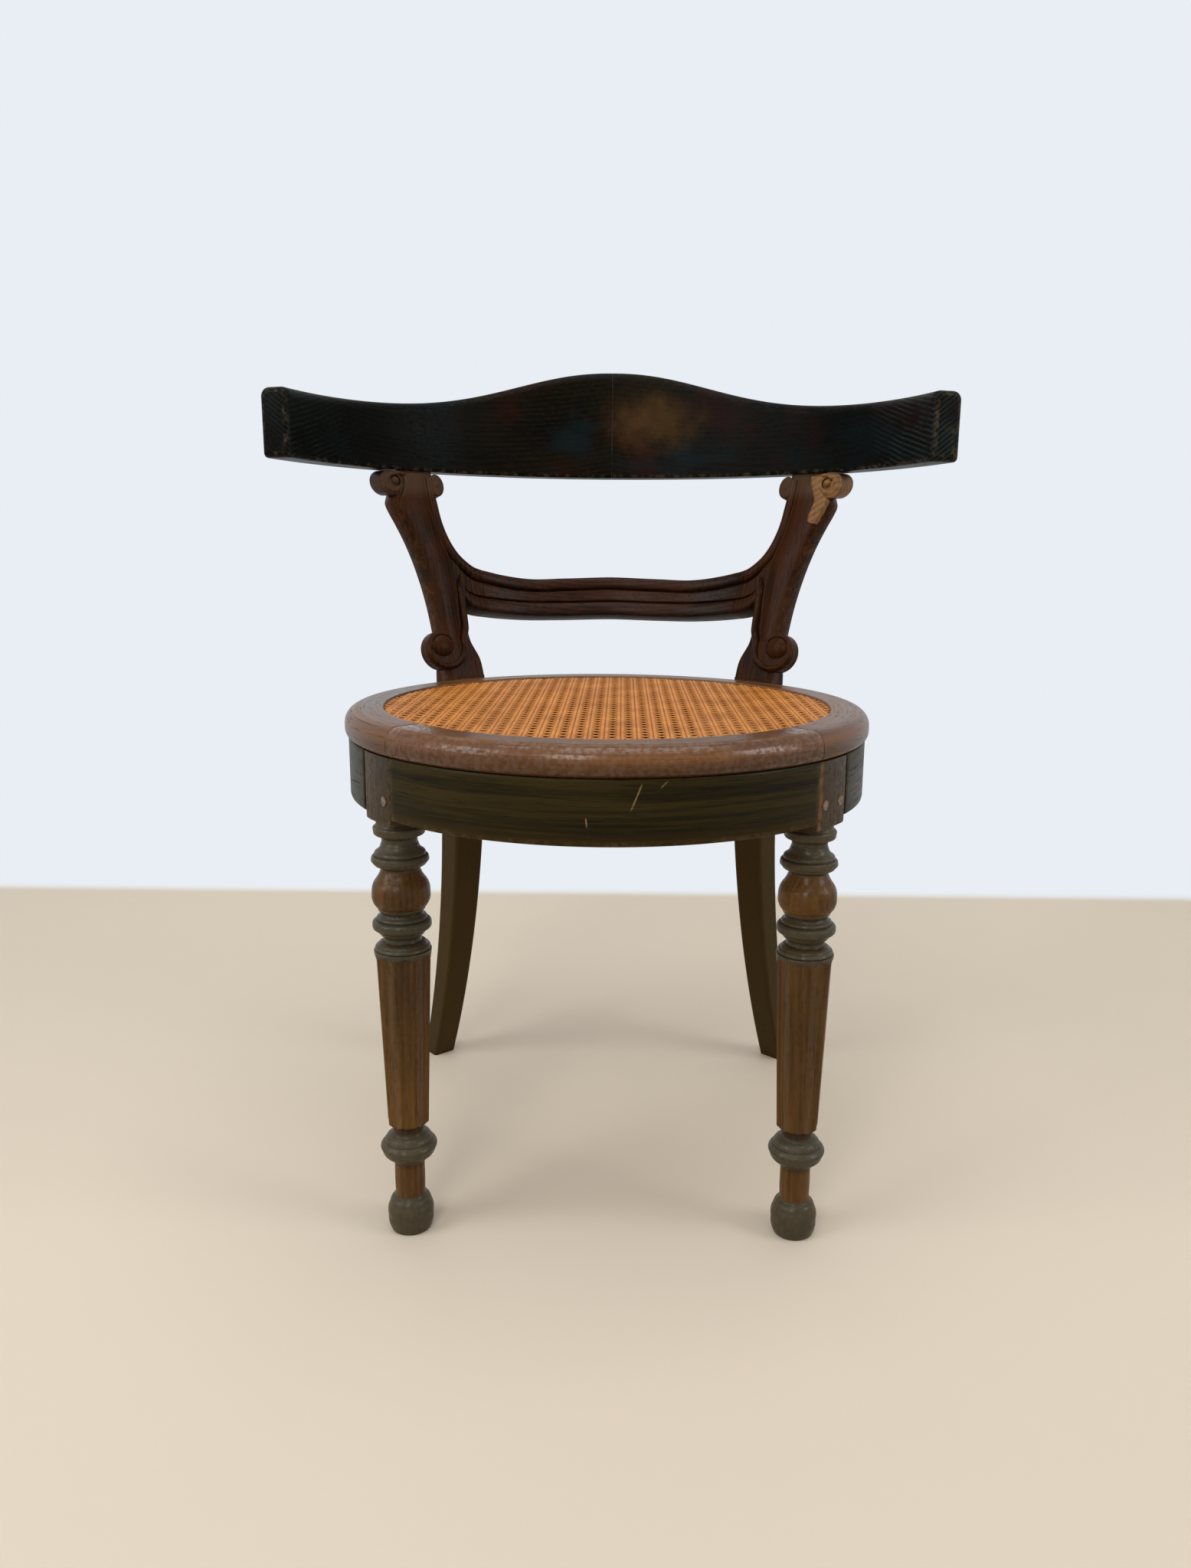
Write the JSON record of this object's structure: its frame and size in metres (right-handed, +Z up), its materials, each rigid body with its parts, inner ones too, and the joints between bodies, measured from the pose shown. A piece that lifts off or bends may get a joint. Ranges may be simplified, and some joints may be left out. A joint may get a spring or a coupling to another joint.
{
  "type": "cane seat chair",
  "caption": "Round-seated dark oak chair with woven cane seat, turned fluted front legs, scrolled back uprights and a wide bowed crest rail.",
  "frame": {"origin": "on the floor under the middle of the chair's box", "axes": "+Z up, the sitter faces -Y, +X to the right seen from the front"},
  "size_m": [0.6606, 0.5586, 0.7906],
  "materials": {
    "leg_oak": "satin varnish",
    "repair_wood": "satin varnish",
    "crest_oak": "satin varnish",
    "ring_oak": "satin varnish",
    "rail_oak": "satin varnish",
    "cane": "natural gloss",
    "screw_steel": "dulled",
    "peg_wood": "satin varnish",
    "inner_wood": "bare"
  },
  "bodies": {
    "root": {"front_leg_left": "leg_oak", "front_leg_right": "leg_oak", "rear_leg_left": "leg_oak", "rear_leg_right": "leg_oak", "scroll_repair": "repair_wood", "front_rail": "rail_oak", "side_rail_left": "rail_oak", "side_rail_right": "rail_oak", "rear_rail": "rail_oak", "seat_ring_front": "ring_oak", "seat_ring_right": "ring_oak", "seat_ring_left": "ring_oak", "seat_ring_back": "ring_oak", "ring_tongues": "inner_wood", "cane_panel": "cane", "lower_back_rail": "rail_oak", "crest_rail_right": "crest_oak", "crest_rail_left": "crest_oak", "crest_tongue": "inner_wood", "corner_block_front_right": "inner_wood", "corner_block_front_left": "inner_wood", "corner_block_rear_right": "inner_wood", "corner_block_rear_left": "inner_wood", "rail_screws": "screw_steel", "ring_screws": "screw_steel", "tenon_pegs": "peg_wood"}
  },
  "joints": []
}
